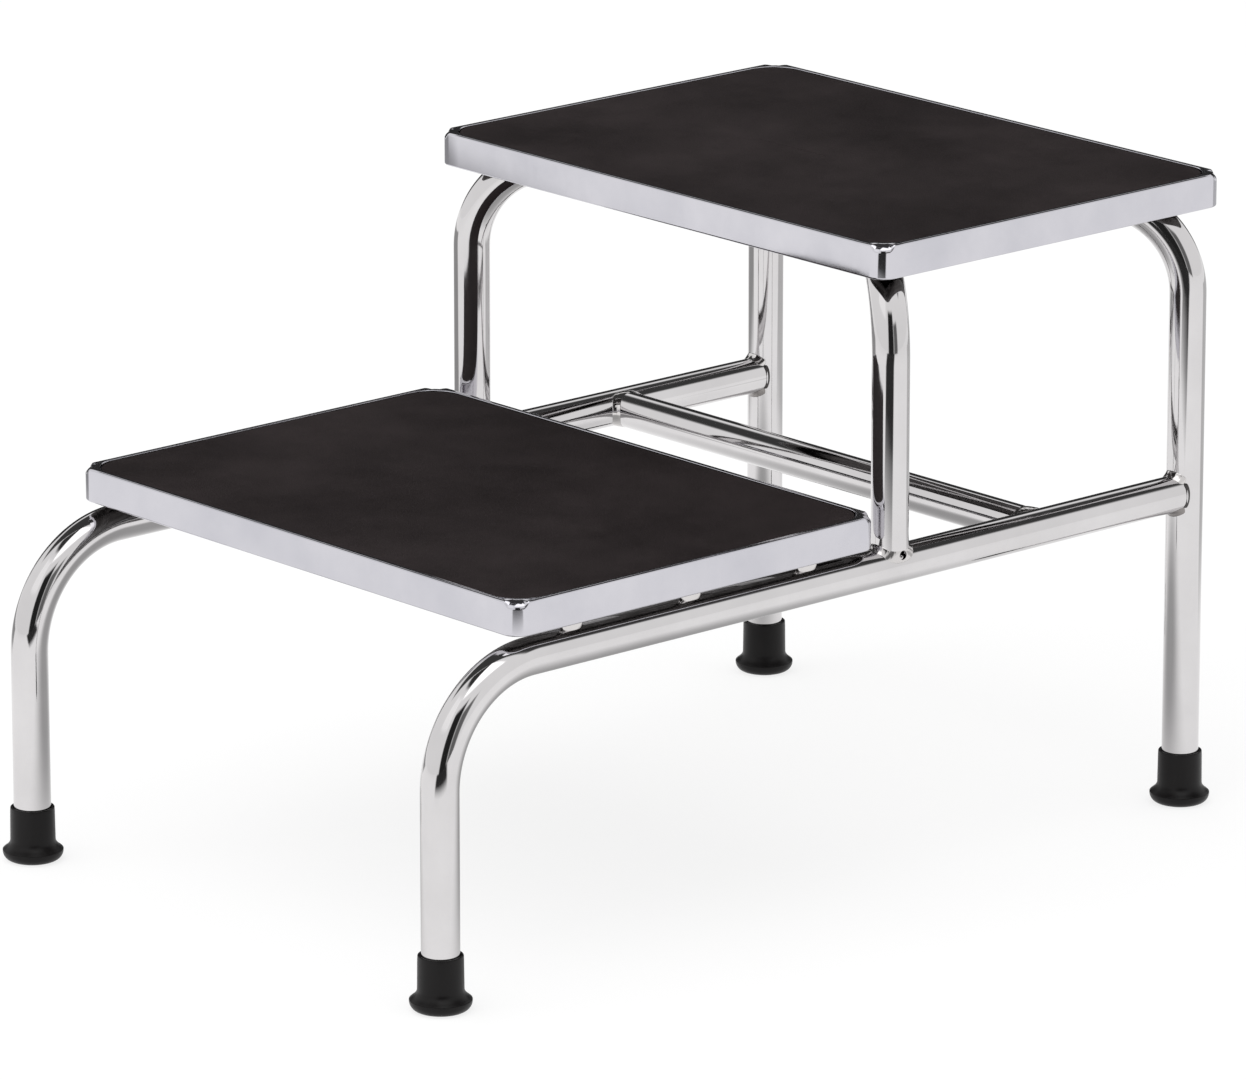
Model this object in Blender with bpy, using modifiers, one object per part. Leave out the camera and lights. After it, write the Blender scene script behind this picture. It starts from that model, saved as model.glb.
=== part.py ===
"""Two-step stool: a chrome-plated tube frame, two pressed steel step pans,
rubber mats and rubber leg tips.  Metres, +Z up, +Y to the rear of the stool,
origin on the floor at the middle of the footprint."""

import math

import bmesh
import bpy
from mathutils import Matrix, Vector

# Tube stock
TUBE_RADIUS = 0.0111
TUBE_WALL = 0.0015
TUBE_SIDES_RESOLUTION = 8
BEND_STEPS = 8
FIT_GAP = 0.0003
SHARP_ANGLE = 40.0
MERGE_DISTANCE = 0.00001

# A tube that meets another is coped over its crown, and its ears are trimmed square this far
# short of the other tube's centre line
EAR_SETBACK = 0.0078
CUTTER_REACH = 0.033
CUTTER_SIDES = 40

# Frame layout
HALF_TRACK = 0.185
LEG_Y = 0.293
UPPER_FRONT_LEG_Y = 0.051
RAIL_Z = 0.194
CROSSBAR_Y = 0.1695
RAIL_BEND_RADIUS = 0.067
UPPER_BEND_RADIUS = 0.055

# Step pans, both pressed to one shape
PAN_WIDTH = 0.392
PAN_DEPTH = 0.278
PAN_HEIGHT = 0.0205
PAN_SHEET = 0.0012
PAN_CORNER_RADIUS = 0.011
PAN_FLANGE_INSET = 0.013
PAN_FLANGE_CORNER_RADIUS = 0.004
PAN_FOOT_RADIUS = 0.0015
PAN_SHARP_ANGLE = 50.0
RIM_OUTER_ROUND = 0.0015
RIM_LAND_INSET = 0.0030
RIM_INNER_ROUND = 0.0008
RECESS_DEPTH = 0.0051
RECESS_CORNER_RADIUS = 0.020
CORNER_STEPS = 5
FOOT_STEPS = 2
RIM_OUTER_STEPS = 3
RIM_INNER_STEPS = 2
LOWER_PAN_Y = -0.107
LOWER_PAN_Z = 0.2096
UPPER_PAN_Y = (UPPER_FRONT_LEG_Y + LEG_Y) / 2.0
UPPER_PAN_Z = 0.3682

# Mats
MAT_BELOW_RIM = 0.0005
MAT_EDGE_ROUND = 0.0008
MAT_ROUND_STEPS = 2
MAT_ROUND_ANGLE = 60.0

# Stiffening ribs in the lower pan
RIB_HALF_LENGTH = 0.192
RIB_WEB_HALF_WIDTH = 0.012
RIB_LIP_WIDTH = 0.010
RIB_OFFSET_Y = 0.060

# Saddle lugs between the rails and the lower pan
LUG_WIDTH = 0.009
LUG_LENGTH = 0.016
LUG_CORNER_RADIUS = 0.004
LUG_SPACING = 0.090
LUG_OFFSET_X = 0.005

# Leg tips
TIP_HEIGHT = 0.0325
TIP_FLOOR = 0.006
TIP_SLEEVE_TOP_RADIUS = 0.0131
TIP_SLEEVE_FOOT_RADIUS = 0.0134
TIP_FLARE_RADIUS = 0.018
TIP_FLARE_Z = 0.0062
TIP_FLARE_TOP_Z = 0.0125
TIP_FLARE_EDGE = 0.0004
TIP_SKIRT_CURVE = 0.7
TIP_SKIRT_STEPS = 4
TIP_LIP_ROUND = 0.0005
TIP_SOLE_RADIUS = 0.0125
TIP_FOOT_STEPS = 4
TIP_STEPS = 24

# Steel washers inside the tips
WASHER_THICKNESS = 0.0015
WASHER_OUTER_RADIUS = 0.0106
WASHER_HOLE_RADIUS = 0.004
WASHER_STEPS = 24

SHEET_UNDERSIDE = PAN_HEIGHT - RECESS_DEPTH - PAN_SHEET
UPPER_TUBE_Z = UPPER_PAN_Z + SHEET_UNDERSIDE - FIT_GAP - TUBE_RADIUS
TUBE_END_Z = TIP_FLOOR + WASHER_THICKNESS + 2.0 * FIT_GAP
CROSSING = Vector((0.0, UPPER_PAN_Y, UPPER_TUBE_Z))


def clear_scene():
    for thing in list(bpy.data.objects):
        bpy.data.objects.remove(thing, do_unlink=True)


def new_collection(name):
    collection = bpy.data.collections.new(name)
    bpy.context.scene.collection.children.link(collection)
    return collection


def principled(name, colour, metallic, roughness):
    material = bpy.data.materials.new(name)
    material.use_nodes = True
    shader = material.node_tree.nodes["Principled BSDF"]
    shader.inputs["Base Color"].default_value = (*colour, 1.0)
    shader.inputs["Metallic"].default_value = metallic
    shader.inputs["Roughness"].default_value = roughness
    return material


def add_object(name, mesh, collection, material):
    piece = bpy.data.objects.new(name, mesh)
    collection.objects.link(piece)
    if material:
        mesh.materials.clear()
        mesh.materials.append(material)
    return piece


def smooth(piece, angle=SHARP_ANGLE):
    piece.data.shade_smooth()
    piece.data.set_sharp_from_angle(angle=math.radians(angle))


def mesh_from_curve(curve):
    """Evaluate a curve into a welded mesh and drop the curve."""
    guide = bpy.data.objects.new(curve.name, curve)
    bpy.context.scene.collection.objects.link(guide)
    depsgraph = bpy.context.evaluated_depsgraph_get()
    mesh = bpy.data.meshes.new_from_object(guide.evaluated_get(depsgraph))
    bpy.data.objects.remove(guide, do_unlink=True)
    bpy.data.curves.remove(curve)
    shape = bmesh.new()
    shape.from_mesh(mesh)
    bmesh.ops.remove_doubles(shape, verts=shape.verts, dist=MERGE_DISTANCE)
    bmesh.ops.recalc_face_normals(shape, faces=shape.faces)
    shape.to_mesh(mesh)
    shape.free()
    return mesh


def bend_points(corner, arriving, leaving, radius):
    """Points of the quarter bend that rounds a right-angled corner."""
    centre = corner - arriving * radius + leaving * radius
    points = []
    for step in range(BEND_STEPS + 1):
        angle = math.pi / 2.0 * step / BEND_STEPS
        offset = arriving * math.sin(angle) - leaving * math.cos(angle)
        points.append(centre + offset * radius)
    return points


def tube(name, path, collection, material):
    """An open-ended hollow tube that follows the path."""
    curve = bpy.data.curves.new(name + "_path", "CURVE")
    curve.dimensions = "3D"
    curve.bevel_depth = TUBE_RADIUS
    curve.bevel_resolution = TUBE_SIDES_RESOLUTION
    curve.use_fill_caps = False
    spline = curve.splines.new("POLY")
    spline.points.add(len(path) - 1)
    for point, place in zip(spline.points, path):
        point.co = (*place, 1.0)
    piece = add_object(name, mesh_from_curve(curve), collection, material)
    smooth(piece)
    wall = piece.modifiers.new("wall", "SOLIDIFY")
    wall.thickness = TUBE_WALL
    wall.offset = -1.0
    wall.use_even_offset = True
    return piece


def tube_cutter(name, start, end, collection):
    """A cylinder around a neighbouring tube, wider by the fitting gap."""
    axis = end - start
    turn = axis.to_track_quat("Z", "Y").to_matrix().to_4x4()
    shape = bmesh.new()
    bmesh.ops.create_cone(
        shape, cap_ends=True, segments=CUTTER_SIDES, depth=axis.length,
        radius1=TUBE_RADIUS + FIT_GAP, radius2=TUBE_RADIUS + FIT_GAP,
        matrix=Matrix.Translation((start + end) / 2.0) @ turn)
    mesh = bpy.data.meshes.new(name)
    shape.to_mesh(mesh)
    shape.free()
    cutter = add_object(name, mesh, collection, None)
    cutter.hide_render = True
    cutter.display_type = "WIRE"
    return cutter


def cope(piece, cutter):
    cut = piece.modifiers.new("cope", "BOOLEAN")
    cut.operation = "DIFFERENCE"
    cut.object = cutter
    return cut


def make_cutters(collection):
    cutters = {}
    for side, x in (("left", -HALF_TRACK), ("right", HALF_TRACK)):
        cutters["rail_" + side] = tube_cutter(
            "cutter_rail_" + side, Vector((x, -LEG_Y, RAIL_Z)), Vector((x, LEG_Y, RAIL_Z)), collection)
        cutters["leg_" + side] = tube_cutter(
            "cutter_leg_" + side, Vector((x, LEG_Y, RAIL_Z - CUTTER_REACH)),
            Vector((x, LEG_Y, RAIL_Z + CUTTER_REACH)), collection)
    along = diagonal(-1.0) * CUTTER_REACH
    cutters["diagonal"] = tube_cutter(
        "cutter_diagonal", CROSSING - along, CROSSING + along, collection)
    return cutters


def diagonal(side):
    """Level direction from an upper front leg, on the given side, to the opposite rear leg."""
    return Vector((-side * 2.0 * HALF_TRACK, LEG_Y - UPPER_FRONT_LEG_Y, 0.0)).normalized()


def make_side_tubes(collection, material, cutters):
    """Front leg and rail in one bent tube, coped onto the rear leg."""
    up = Vector((0.0, 0.0, 1.0))
    back = Vector((0.0, 1.0, 0.0))
    for side, x in (("left", -HALF_TRACK), ("right", HALF_TRACK)):
        corner = Vector((x, -LEG_Y, RAIL_Z))
        path = [Vector((x, -LEG_Y, TUBE_END_Z))]
        path += bend_points(corner, up, back, RAIL_BEND_RADIUS)
        path.append(Vector((x, LEG_Y - EAR_SETBACK, RAIL_Z)))
        piece = tube("side_tube_" + side, path, collection, material)
        cope(piece, cutters["leg_" + side])


def make_crossbar(collection, material, cutters):
    half_length = HALF_TRACK - EAR_SETBACK
    ends = [Vector((x, CROSSBAR_Y, RAIL_Z)) for x in (-half_length, half_length)]
    piece = tube("crossbar", ends, collection, material)
    cope(piece, cutters["rail_left"])
    cope(piece, cutters["rail_right"])


def make_upper_tubes(collection, material, cutters):
    """Two diagonals under the upper pan: one whole, the other in two halves coped onto it."""
    up = Vector((0.0, 0.0, 1.0))
    front_left = Vector((-HALF_TRACK, UPPER_FRONT_LEG_Y, UPPER_TUBE_Z))
    front_right = Vector((HALF_TRACK, UPPER_FRONT_LEG_Y, UPPER_TUBE_Z))
    rear_left = Vector((-HALF_TRACK, LEG_Y, UPPER_TUBE_Z))
    rear_right = Vector((HALF_TRACK, LEG_Y, UPPER_TUBE_Z))

    across = diagonal(-1.0)
    path = [Vector((-HALF_TRACK, UPPER_FRONT_LEG_Y, RAIL_Z + EAR_SETBACK))]
    path += bend_points(front_left, up, across, UPPER_BEND_RADIUS)
    path += bend_points(rear_right, across, -up, UPPER_BEND_RADIUS)
    path.append(Vector((HALF_TRACK, LEG_Y, TUBE_END_Z)))
    piece = tube("upper_tube_long", path, collection, material)
    cope(piece, cutters["rail_left"])

    across = diagonal(1.0)
    path = [Vector((HALF_TRACK, UPPER_FRONT_LEG_Y, RAIL_Z + EAR_SETBACK))]
    path += bend_points(front_right, up, across, UPPER_BEND_RADIUS)
    path.append(CROSSING - across * EAR_SETBACK)
    piece = tube("upper_tube_front_right", path, collection, material)
    cope(piece, cutters["rail_right"])
    cope(piece, cutters["diagonal"])

    path = [Vector((-HALF_TRACK, LEG_Y, TUBE_END_Z))]
    path += bend_points(rear_left, up, -across, UPPER_BEND_RADIUS)
    path.append(CROSSING + across * EAR_SETBACK)
    piece = tube("upper_tube_rear_left", path, collection, material)
    cope(piece, cutters["diagonal"])


def rounded_rectangle(width, depth, radius):
    """Outline points, counter-clockwise, with every corner an arc of equal steps."""
    points = []
    for corner in range(4):
        side_x = 1.0 if corner in (0, 3) else -1.0
        side_y = 1.0 if corner in (0, 1) else -1.0
        centre_x = side_x * (width / 2.0 - radius)
        centre_y = side_y * (depth / 2.0 - radius)
        for step in range(CORNER_STEPS + 1):
            angle = math.pi / 2.0 * (corner + step / CORNER_STEPS)
            points.append((centre_x + radius * math.cos(angle), centre_y + radius * math.sin(angle)))
    return points


def pan_sections():
    """Inset from the outline, height and corner radius, from the flange lip to the mat seat."""
    foot = PAN_FOOT_RADIUS
    flange_radius = PAN_FLANGE_CORNER_RADIUS
    sections = [(PAN_FLANGE_INSET, 0.0, flange_radius)]
    for step in range(FOOT_STEPS + 1):
        angle = math.pi / 2.0 * step / FOOT_STEPS
        inset = foot * (1.0 - math.sin(angle))
        sections.append((inset, foot * (1.0 - math.cos(angle)), PAN_CORNER_RADIUS - inset))
    for step in range(RIM_OUTER_STEPS + 1):
        angle = math.pi / 2.0 * step / RIM_OUTER_STEPS
        inset = RIM_OUTER_ROUND * (1.0 - math.cos(angle))
        height = PAN_HEIGHT - RIM_OUTER_ROUND * (1.0 - math.sin(angle))
        sections.append((inset, height, PAN_CORNER_RADIUS - inset))
    for step in range(RIM_INNER_STEPS + 1):
        angle = math.pi / 2.0 * step / RIM_INNER_STEPS
        inset = RIM_LAND_INSET + RIM_INNER_ROUND * math.sin(angle)
        height = PAN_HEIGHT - RIM_INNER_ROUND * (1.0 - math.cos(angle))
        sections.append((inset, height, RECESS_CORNER_RADIUS))
    seat_inset = RIM_LAND_INSET + RIM_INNER_ROUND
    sections.append((seat_inset, PAN_HEIGHT - RECESS_DEPTH, RECESS_CORNER_RADIUS))
    return sections


def make_pan(name, y, z, collection, material):
    """A pressed pan: in-turned flange, apron, rolled rim and a recessed seat for the mat."""
    shape = bmesh.new()
    rings = []
    for inset, height, radius in pan_sections():
        outline = rounded_rectangle(PAN_WIDTH - 2.0 * inset, PAN_DEPTH - 2.0 * inset, radius)
        rings.append([shape.verts.new((px, py, height)) for px, py in outline])
    count = len(rings[0])
    for lower, upper in zip(rings, rings[1:]):
        for index in range(count):
            follow = (index + 1) % count
            shape.faces.new((lower[index], lower[follow], upper[follow], upper[index]))
    shape.faces.new(rings[-1])
    mesh = bpy.data.meshes.new(name)
    shape.to_mesh(mesh)
    shape.free()
    piece = add_object(name, mesh, collection, material)
    piece.location = (0.0, y, z)
    smooth(piece, PAN_SHARP_ANGLE)
    wall = piece.modifiers.new("sheet", "SOLIDIFY")
    wall.thickness = PAN_SHEET
    wall.offset = -1.0
    wall.use_even_offset = True


def outline_solid(name, outline, thickness):
    """A flat outline made solid, standing on z = 0."""
    curve = bpy.data.curves.new(name + "_outline", "CURVE")
    curve.dimensions = "2D"
    curve.fill_mode = "BOTH"
    curve.extrude = thickness / 2.0
    spline = curve.splines.new("POLY")
    spline.use_cyclic_u = True
    spline.points.add(len(outline) - 1)
    for point, (px, py) in zip(spline.points, outline):
        point.co = (px, py, 0.0, 1.0)
    mesh = mesh_from_curve(curve)
    mesh.transform(Matrix.Translation((0.0, 0.0, thickness / 2.0)))
    return mesh


def round_edges(piece, width):
    bevel = piece.modifiers.new("round", "BEVEL")
    bevel.width = width
    bevel.segments = MAT_ROUND_STEPS
    bevel.limit_method = "ANGLE"
    bevel.angle_limit = math.radians(MAT_ROUND_ANGLE)
    return bevel


def make_mat(name, y, z, collection, material):
    """A rubber sheet lying in the pan's recess, a little below the rim."""
    inset = RIM_LAND_INSET + RIM_INNER_ROUND + FIT_GAP
    outline = rounded_rectangle(
        PAN_WIDTH - 2.0 * inset, PAN_DEPTH - 2.0 * inset, RECESS_CORNER_RADIUS - FIT_GAP)
    thickness = RECESS_DEPTH - MAT_BELOW_RIM - FIT_GAP
    piece = add_object(name, outline_solid(name, outline, thickness), collection, material)
    piece.location = (0.0, y, z + PAN_HEIGHT - RECESS_DEPTH + FIT_GAP)
    smooth(piece)
    round_edges(piece, MAT_EDGE_ROUND)


def make_ribs(collection, material):
    """Hat-section ribs between the lower pan's flange and its sheet."""
    low = LOWER_PAN_Z + 2.0 * PAN_SHEET + FIT_GAP
    high = LOWER_PAN_Z + SHEET_UNDERSIDE - FIT_GAP
    web = RIB_WEB_HALF_WIDTH
    lip = RIB_WEB_HALF_WIDTH + RIB_LIP_WIDTH
    profile = [(-lip, high), (-web, high), (-web, low), (web, low), (web, high), (lip, high)]
    for place, offset in (("front", -RIB_OFFSET_Y), ("rear", RIB_OFFSET_Y)):
        name = "lower_rib_" + place
        shape = bmesh.new()
        points = [shape.verts.new((-RIB_HALF_LENGTH, py, pz)) for py, pz in profile]
        edges = [shape.edges.new(pair) for pair in zip(points, points[1:])]
        swept = bmesh.ops.extrude_edge_only(shape, edges=edges)["geom"]
        moved = [part for part in swept if isinstance(part, bmesh.types.BMVert)]
        bmesh.ops.translate(shape, verts=moved, vec=(2.0 * RIB_HALF_LENGTH, 0.0, 0.0))
        bmesh.ops.recalc_face_normals(shape, faces=shape.faces)
        if sum(face.normal.z for face in shape.faces) < 0.0:
            bmesh.ops.reverse_faces(shape, faces=shape.faces)
        mesh = bpy.data.meshes.new(name)
        shape.to_mesh(mesh)
        shape.free()
        piece = add_object(name, mesh, collection, material)
        piece.location = (0.0, LOWER_PAN_Y + offset, 0.0)
        wall = piece.modifiers.new("sheet", "SOLIDIFY")
        wall.thickness = PAN_SHEET
        wall.offset = -1.0
        wall.use_even_offset = True


def make_lugs(collection, material, cutters):
    """Saddle lugs, three to a side, that carry the lower pan on the rails."""
    height = LOWER_PAN_Z - FIT_GAP - RAIL_Z
    outline = rounded_rectangle(LUG_WIDTH, LUG_LENGTH, LUG_CORNER_RADIUS)
    for side, sign in (("left", -1.0), ("right", 1.0)):
        for number in range(3):
            name = f"pan_lug_{side}_{number + 1}"
            piece = add_object(name, outline_solid(name, outline, height), collection, material)
            piece.location = (
                sign * (HALF_TRACK + LUG_OFFSET_X),
                LOWER_PAN_Y + (number - 1) * LUG_SPACING,
                RAIL_Z)
            smooth(piece)
            cope(piece, cutters["rail_" + side])


def screw_solid(name, profile, steps, collection, material):
    """A solid turned about Z from a profile that ends on the axis or closes on itself."""
    shape = bmesh.new()
    points = [shape.verts.new((px, 0.0, pz)) for px, pz in profile]
    for pair in zip(points, points[1:]):
        shape.edges.new(pair)
    if profile[0][0] > 0.0:
        shape.edges.new((points[-1], points[0]))
    mesh = bpy.data.meshes.new(name)
    shape.to_mesh(mesh)
    shape.free()
    piece = add_object(name, mesh, collection, material)
    turn = piece.modifiers.new("turn", "SCREW")
    turn.steps = steps
    turn.render_steps = steps
    turn.use_merge_vertices = True
    turn.merge_threshold = MERGE_DISTANCE
    turn.use_smooth_shade = True
    return piece


def tip_profile():
    """Socket for the tube, thin sleeve, flared skirt and a bowl-shaped foot with a flat sole."""
    bore = TUBE_RADIUS + FIT_GAP
    profile = [
        (0.0, TIP_FLOOR),
        (bore, TIP_FLOOR),
        (bore, TIP_HEIGHT - TIP_LIP_ROUND),
        ((bore + TIP_SLEEVE_TOP_RADIUS) / 2.0, TIP_HEIGHT),
        (TIP_SLEEVE_TOP_RADIUS, TIP_HEIGHT - TIP_LIP_ROUND),
        (TIP_SLEEVE_FOOT_RADIUS, TIP_FLARE_TOP_Z),
    ]
    skirt_fall = TIP_FLARE_TOP_Z - TIP_FLARE_Z - TIP_FLARE_EDGE
    skirt_reach = TIP_FLARE_RADIUS - TIP_SLEEVE_FOOT_RADIUS
    for step in range(1, TIP_SKIRT_STEPS + 1):
        share = step / TIP_SKIRT_STEPS
        profile.append((
            TIP_SLEEVE_FOOT_RADIUS + skirt_reach * share,
            TIP_FLARE_TOP_Z - skirt_fall * share ** TIP_SKIRT_CURVE))
    for step in range(TIP_FOOT_STEPS + 1):
        angle = math.pi / 2.0 * step / TIP_FOOT_STEPS
        profile.append((
            TIP_SOLE_RADIUS + (TIP_FLARE_RADIUS - TIP_SOLE_RADIUS) * math.cos(angle),
            (TIP_FLARE_Z - TIP_FLARE_EDGE) * (1.0 - math.sin(angle))))
    profile.append((0.0, 0.0))
    return profile


def make_tips(collection, rubber, steel):
    base = TIP_FLOOR + FIT_GAP
    washer = [
        (WASHER_HOLE_RADIUS, base + WASHER_THICKNESS),
        (WASHER_OUTER_RADIUS, base + WASHER_THICKNESS),
        (WASHER_OUTER_RADIUS, base),
        (WASHER_HOLE_RADIUS, base),
    ]
    profile = tip_profile()
    for place, x, y in (
            ("front_left", -HALF_TRACK, -LEG_Y),
            ("front_right", HALF_TRACK, -LEG_Y),
            ("rear_left", -HALF_TRACK, LEG_Y),
            ("rear_right", HALF_TRACK, LEG_Y)):
        tip = screw_solid("tip_" + place, profile, TIP_STEPS, collection, rubber)
        tip.location = (x, y, 0.0)
        ring = screw_solid("tip_washer_" + place, washer, WASHER_STEPS, collection, steel)
        ring.location = (x, y, 0.0)


def build():
    clear_scene()
    parts = new_collection("two_step_stool")
    guides = new_collection("cutters")
    chrome = principled("chrome", (0.78, 0.78, 0.80), 1.0, 0.08)
    pan_chrome = principled("pan_chrome", (0.80, 0.80, 0.83), 1.0, 0.18)
    mat_rubber = principled("mat_rubber", (0.030, 0.025, 0.025), 0.0, 0.75)
    tip_rubber = principled("tip_rubber", (0.018, 0.017, 0.017), 0.0, 0.45)
    steel = principled("plain_steel", (0.45, 0.45, 0.45), 1.0, 0.40)

    cutters = make_cutters(guides)
    make_side_tubes(parts, chrome, cutters)
    make_crossbar(parts, chrome, cutters)
    make_upper_tubes(parts, chrome, cutters)
    make_pan("lower_pan", LOWER_PAN_Y, LOWER_PAN_Z, parts, pan_chrome)
    make_pan("upper_pan", UPPER_PAN_Y, UPPER_PAN_Z, parts, pan_chrome)
    make_mat("lower_mat", LOWER_PAN_Y, LOWER_PAN_Z, parts, mat_rubber)
    make_mat("upper_mat", UPPER_PAN_Y, UPPER_PAN_Z, parts, mat_rubber)
    make_ribs(parts, steel)
    make_lugs(parts, chrome, cutters)
    make_tips(parts, tip_rubber, steel)


build()
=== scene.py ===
import math

import bmesh
import bpy
from mathutils import Matrix, Vector, noise


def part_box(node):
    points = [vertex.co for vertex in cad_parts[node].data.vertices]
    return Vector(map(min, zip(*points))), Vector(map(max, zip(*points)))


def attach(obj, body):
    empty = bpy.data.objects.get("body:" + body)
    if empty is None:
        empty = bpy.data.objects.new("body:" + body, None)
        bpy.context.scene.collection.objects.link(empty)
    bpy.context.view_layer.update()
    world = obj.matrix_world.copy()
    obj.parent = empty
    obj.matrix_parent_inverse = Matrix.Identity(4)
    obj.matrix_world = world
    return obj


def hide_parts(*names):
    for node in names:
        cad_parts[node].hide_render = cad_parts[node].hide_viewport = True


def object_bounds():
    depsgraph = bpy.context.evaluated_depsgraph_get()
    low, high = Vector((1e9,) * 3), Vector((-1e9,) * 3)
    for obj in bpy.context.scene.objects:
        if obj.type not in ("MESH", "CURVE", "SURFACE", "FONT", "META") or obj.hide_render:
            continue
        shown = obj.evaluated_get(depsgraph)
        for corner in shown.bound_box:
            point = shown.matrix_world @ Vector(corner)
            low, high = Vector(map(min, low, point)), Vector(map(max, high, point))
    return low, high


# Looks of the two-step stool.  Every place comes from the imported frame, in metres,
# +Z up and +Y to the rear.  Each visible CAD node gets a finer piece that stands for it.

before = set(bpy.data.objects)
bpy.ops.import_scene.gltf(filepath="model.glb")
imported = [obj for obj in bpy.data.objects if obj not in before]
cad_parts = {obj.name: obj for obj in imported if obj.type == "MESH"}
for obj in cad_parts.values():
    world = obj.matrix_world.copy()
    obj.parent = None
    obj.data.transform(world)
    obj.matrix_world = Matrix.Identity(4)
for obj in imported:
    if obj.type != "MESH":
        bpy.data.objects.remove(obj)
cad_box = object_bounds()

UP = Vector((0.0, 0.0, 1.0))
BACK = Vector((0.0, 1.0, 0.0))
RIGHT = Vector((1.0, 0.0, 0.0))

# Camera: its angles round the stool in degrees, its distance from the point it looks at, and that
# point's place against the middle of the stool's box
CAMERA_AZIMUTH = 48.305
CAMERA_ELEVATION = 15.859
CAMERA_DISTANCE = 5.4146
CAMERA_LENS = 264.66
CAMERA_AIM_RIGHT = 0.0066
CAMERA_AIM_UP = -0.0143
CAMERA_REACH = 100.0

# Tubes
TUBE_WALL = 0.0015
TUBE_SIDES = 72
TUBE_CREASE = 40.0
BEND_STEPS = 36
RAIL_BEND_RADIUS = 0.067
UPPER_BEND_RADIUS = 0.055
COPE_SINK = 0.0002
COPE_RELIEF = 0.0001

# Straight lengths behind a coped end and before the crossing, in tube radii
COPED_STRAIGHT = 3.0
CROSSING_STRAIGHT = 4.0

# Weld beads where tubes meet; a turn of 0 or 180 degrees is a crotch, and 90 or 270 an ear
BEAD_POINTS = 360
BEAD_CREASE = 65.0
BEAD_SPAN = 13
BEAD_LOOK_AHEAD = 0.01
BEAD_EASING = 6
BEAD_REACH = 0.0032
BEAD_PROUD = 0.0006
BEAD_FULLNESS = 0.62
BEAD_RIPPLE = 0.018
BEAD_RIPPLES = 34
BEAD_DRIFT = 1.5
BEAD_DRIFT_SCALE = 3.0
BEAD_ROOT = 0.0004
BEAD_TAPER = 9.0
BEAD_SIZES = {"bright": 1.0, "dull": 0.85, "seam": 0.45}
RAIL_BEAD_HALF = 48.0

# Vent hole; its turn counts from the rear towards the right, and its cut is in tube radii
VENT_RADIUS = 0.0028
VENT_CUT = (0.5, 1.5)
VENT_SIDES = 32
VENT_TURN = 88.0
VENT_RISE = 0.0004
VENT_MERGE = 0.000004

# Pans; RIM_CORNER values shape the soft dome at each outer corner of the rim
PAN_SHEET = 0.0012
PAN_CREASE = 50.0
PAN_CORNER_RADIUS = 0.011
PAN_FLANGE_INSET = 0.013
PAN_FLANGE_CORNER = 0.004
PAN_FOOT_RADIUS = 0.0013
PAN_FOOT_STEPS = 6
RIM_STEPS = 12
RIM_OUTER_ROUND = 0.0013
RIM_CORNER_PULL = 0.0046
RIM_CORNER_DROP = 0.0030
RIM_CORNER_BLEND = 0.25
RIM_CORNER_FLATNESS = 0.35
RIM_CORNER_GUARD = 0.0005
RIM_LAND_INSET = 0.0030
RIM_INNER_ROUND = 0.0005
RIM_INNER_STEPS = 5
RECESS_DEPTH = 0.0051
RECESS_CORNER_RADIUS = 0.020
OUTLINE_CORNER_STEPS = 18
OUTLINE_SIDE_STEPS = 40

# Mats
MAT_CREASE = 60.0
MAT_EDGE_ROUND = 0.0008
MAT_EDGE_STEPS = 6
MAT_CORNER_RADIUS = 0.0197
MAT_RING_STEP = 0.006
MAT_UNEVENNESS = 0.00012
MAT_UNEVEN_SCALE = 22.0

# Lugs
LUG_CREASE = 70.0
LUG_SIDES = 48
LUG_LEVELS = 16
LUG_FULLEST = 0.76
LUG_SQUARENESS = 0.7
LUG_NARROWING_ACROSS = 0.75
LUG_NARROWING_ALONG = 1.5
LUG_SLENDER = 0.55
LUG_INWARD = 0.0028
LUG_UNEVENNESS = 0.05
LUG_LUMPS_AROUND = 2.0
LUG_LUMPS_UP = 9.0
LUG_INTO_PAN = 0.0004

# Leg tips
TIP_CREASE = 50.0
TIP_TURN_STEPS = 112
TIP_BORE_GAP = 0.0002
TIP_SOCKET_FLOOR = 0.006
TIP_SLEEVE_TOP_RADIUS = 0.0131
TIP_SLEEVE_FOOT_RADIUS = 0.0134
TIP_SLEEVE_SWELL = 0.0001
TIP_LIP = 0.0007
TIP_LIP_STEPS = 5
TIP_SKIRT_TOP = 0.0125
TIP_SKIRT_CLEAR = 0.0008
TIP_SKIRT_STEPS = 12
TIP_SKIRT_FALL = 0.95
TIP_FLARE_Z = 0.0062
TIP_FLARE_EDGE = 0.0004
TIP_FLARE_STEPS = 4
TIP_FOOT_STEPS = 12
TIP_SOLE_RADIUS = 0.0125
SOLE_RINGS = 3
SOLE_RING_INSET = 0.0022
SOLE_RING_STEP = 0.0032
SOLE_GROOVE_HALF_WIDTH = 0.0008
SOLE_GROOVE_HALF_FLOOR = 0.0004
SOLE_GROOVE_DEPTH = 0.0007

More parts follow.
